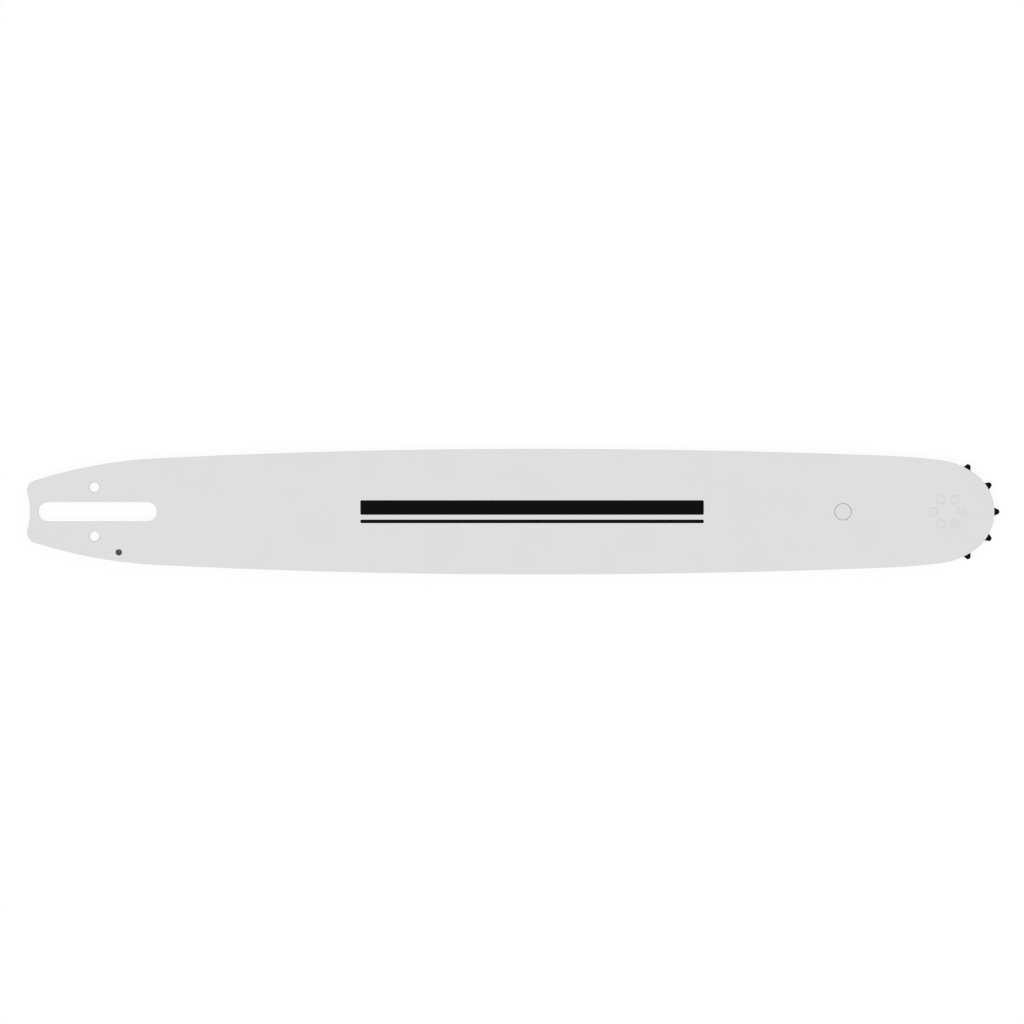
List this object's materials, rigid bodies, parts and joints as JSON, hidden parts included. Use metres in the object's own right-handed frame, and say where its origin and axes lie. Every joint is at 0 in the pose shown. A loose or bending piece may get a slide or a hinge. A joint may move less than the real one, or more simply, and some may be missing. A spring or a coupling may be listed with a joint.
{
  "type": "chainsaw guide bar",
  "caption": "Long flat laminated guide bar with rounded nose, turning nose sprocket, chain groove round its rails, and a slotted tail that clamps to a chainsaw.",
  "frame": {"origin": "middle of the stud slot, on the back face that the bar lies on", "axes": "+X along the bar from tail to nose, +Y across it, +Z through the plates to the front face"},
  "size_m": [0.603, 0.0778, 0.0047],
  "materials": {
    "bar_lacquer": "satin pale grey lacquer on steel plate, rails ground bare",
    "core_steel": "dull rolled steel",
    "sprocket_steel": "black oxide on hardened steel",
    "bearing_steel": "ground bearing steel"
  },
  "bodies": {
    "bar": {"front_side_plate": "bar_lacquer", "back_side_plate": "bar_lacquer", "core_plate": "core_steel", "bearing_race": "bearing_steel", "nose_rivets": "bar_lacquer", "locating_plug": "bar_lacquer"},
    "sprocket": {"nose_sprocket": "sprocket_steel"},
    "roller_ring": {"bearing_roller_01": "bearing_steel", "bearing_roller_02": "bearing_steel", "bearing_roller_03": "bearing_steel", "bearing_roller_04": "bearing_steel", "bearing_roller_05": "bearing_steel", "bearing_roller_06": "bearing_steel", "bearing_roller_07": "bearing_steel", "bearing_roller_08": "bearing_steel", "bearing_roller_09": "bearing_steel", "bearing_roller_10": "bearing_steel", "bearing_roller_11": "bearing_steel", "bearing_roller_12": "bearing_steel", "bearing_roller_13": "bearing_steel", "bearing_roller_14": "bearing_steel", "bearing_roller_15": "bearing_steel", "bearing_roller_16": "bearing_steel", "bearing_roller_17": "bearing_steel", "bearing_roller_18": "bearing_steel", "bearing_roller_19": "bearing_steel", "bearing_roller_20": "bearing_steel"}
  },
  "joints": [
    {"name": "sprocket_spin", "type": "hinge", "parent": "bar", "child": "sprocket", "pos_m": [0.52715, 0, 0.00235], "axis": [0, 0, 1], "continuous": true},
    {"name": "roller_orbit", "type": "hinge", "parent": "bar", "child": "roller_ring", "pos_m": [0.52715, 0, 0.00235], "axis": [0, 0, 1], "continuous": true}
  ],
  "couplings": [
    {"joint": "roller_orbit", "follows": "sprocket_spin", "ratio": 0.57432}
  ]
}
